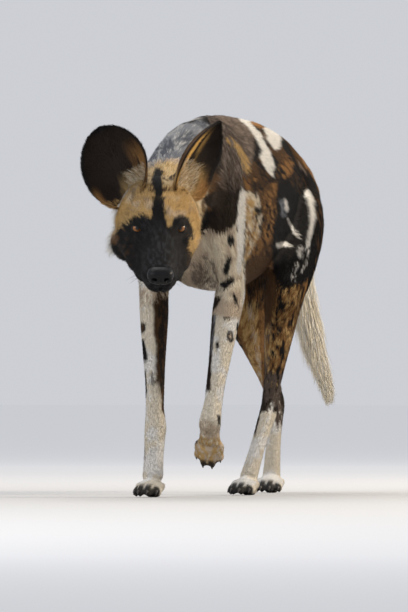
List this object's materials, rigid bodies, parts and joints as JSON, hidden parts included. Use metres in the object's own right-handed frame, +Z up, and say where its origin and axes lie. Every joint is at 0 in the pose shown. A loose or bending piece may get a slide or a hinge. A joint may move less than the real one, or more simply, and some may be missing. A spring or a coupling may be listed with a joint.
{
  "type": "african_wild_dog_model",
  "caption": "Still life-size model of an african wild dog walking with its head low, one forefoot lifted, large round ears and a bushy hanging tail",
  "frame": {"origin": "on the floor, under the middle of the bounding box", "axes": "+Z up; the dog faces -Y, its left side is at +X, its tail at +Y"},
  "size_m": [0.2472, 1.0922, 0.6909],
  "materials": {
    "torso": "short mottled coat of dark brown, ochre and white",
    "neck": "dense tan and grey-white coat",
    "head": "short tan coat with a black mask and a dark stripe on the brow",
    "nose": "moist black skin",
    "eye_left": "wet amber-brown",
    "eye_right": "wet amber-brown",
    "ear_left": "thin dark fur, paler hair inside",
    "ear_right": "thin dark fur, paler hair inside",
    "tail": "long cream-white hair in flat tapered locks",
    "shoulder_left": "short coat, dark brown above and cream with dark spots below",
    "forearm_left": "short cream coat with dark spots and a dark inner stripe",
    "paw_fore_left": "short pale coat with black pads and claws",
    "thigh_left": "short black and ochre coat with white streaks",
    "shank_left": "short mottled coat of black and ochre",
    "hock_left": "short pale coat",
    "paw_hind_left": "short pale coat with black pads and claws",
    "shoulder_right": "short coat, dark brown above and cream with dark spots below",
    "forearm_right": "short cream coat with dark spots and a dark inner stripe",
    "paw_fore_right": "short pale coat with black pads and claws",
    "thigh_right": "short black and ochre coat with white streaks",
    "shank_right": "short mottled coat of black and ochre",
    "hock_right": "short pale coat",
    "paw_hind_right": "short pale coat with black pads and claws"
  },
  "bodies": {
    "root": {"torso": "torso", "neck": "neck", "head": "head", "nose": "nose", "eye_left": "eye_left", "eye_right": "eye_right", "ear_left": "ear_left", "ear_right": "ear_right", "tail": "tail", "shoulder_left": "shoulder_left", "forearm_left": "forearm_left", "paw_fore_left": "paw_fore_left", "thigh_left": "thigh_left", "shank_left": "shank_left", "hock_left": "hock_left", "paw_hind_left": "paw_hind_left", "shoulder_right": "shoulder_right", "forearm_right": "forearm_right", "paw_fore_right": "paw_fore_right", "thigh_right": "thigh_right", "shank_right": "shank_right", "hock_right": "hock_right", "paw_hind_right": "paw_hind_right"}
  },
  "joints": []
}
